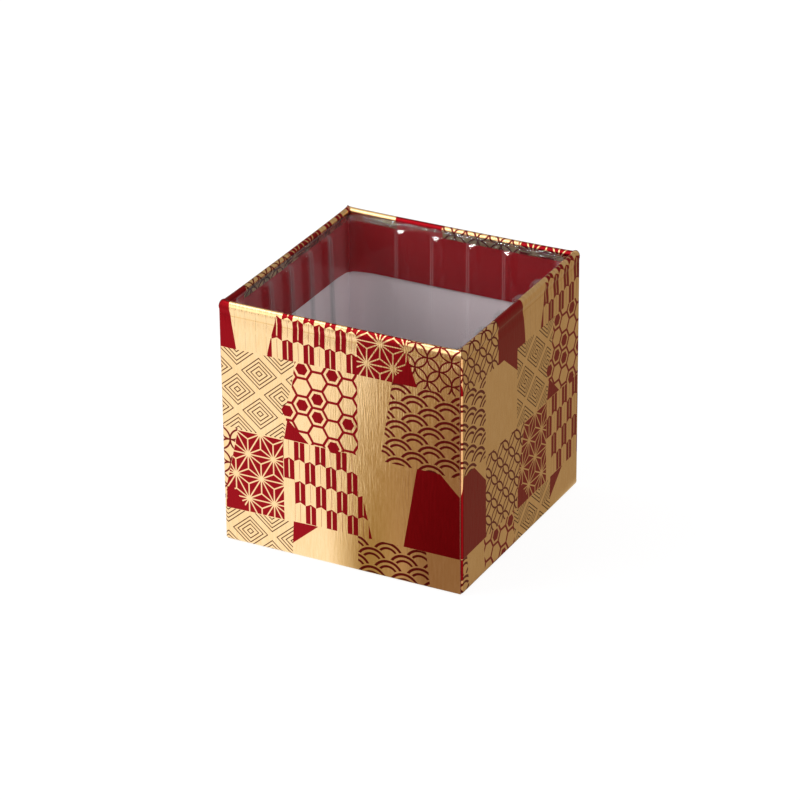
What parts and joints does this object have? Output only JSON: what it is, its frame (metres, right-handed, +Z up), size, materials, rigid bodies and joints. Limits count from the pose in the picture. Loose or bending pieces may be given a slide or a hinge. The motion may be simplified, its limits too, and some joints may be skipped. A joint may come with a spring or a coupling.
{
  "type": "paper tray",
  "caption": "Square deep paper tray folded from one printed card sheet, with a rolled rim and a ribbed clear liner cup standing inside.",
  "frame": {"origin": "middle of the underside of the base", "axes": "+Z up through the open top, the front wall faces -Y and the right wall +X"},
  "size_m": [0.065, 0.065, 0.065],
  "materials": {
    "printed_card": "gold foil printed with dark red on the outside, plain white inside",
    "clear_film": "clear thermoformed film"
  },
  "bodies": {
    "root": {"card_tray": "printed_card", "clear_liner": "clear_film"}
  },
  "joints": []
}
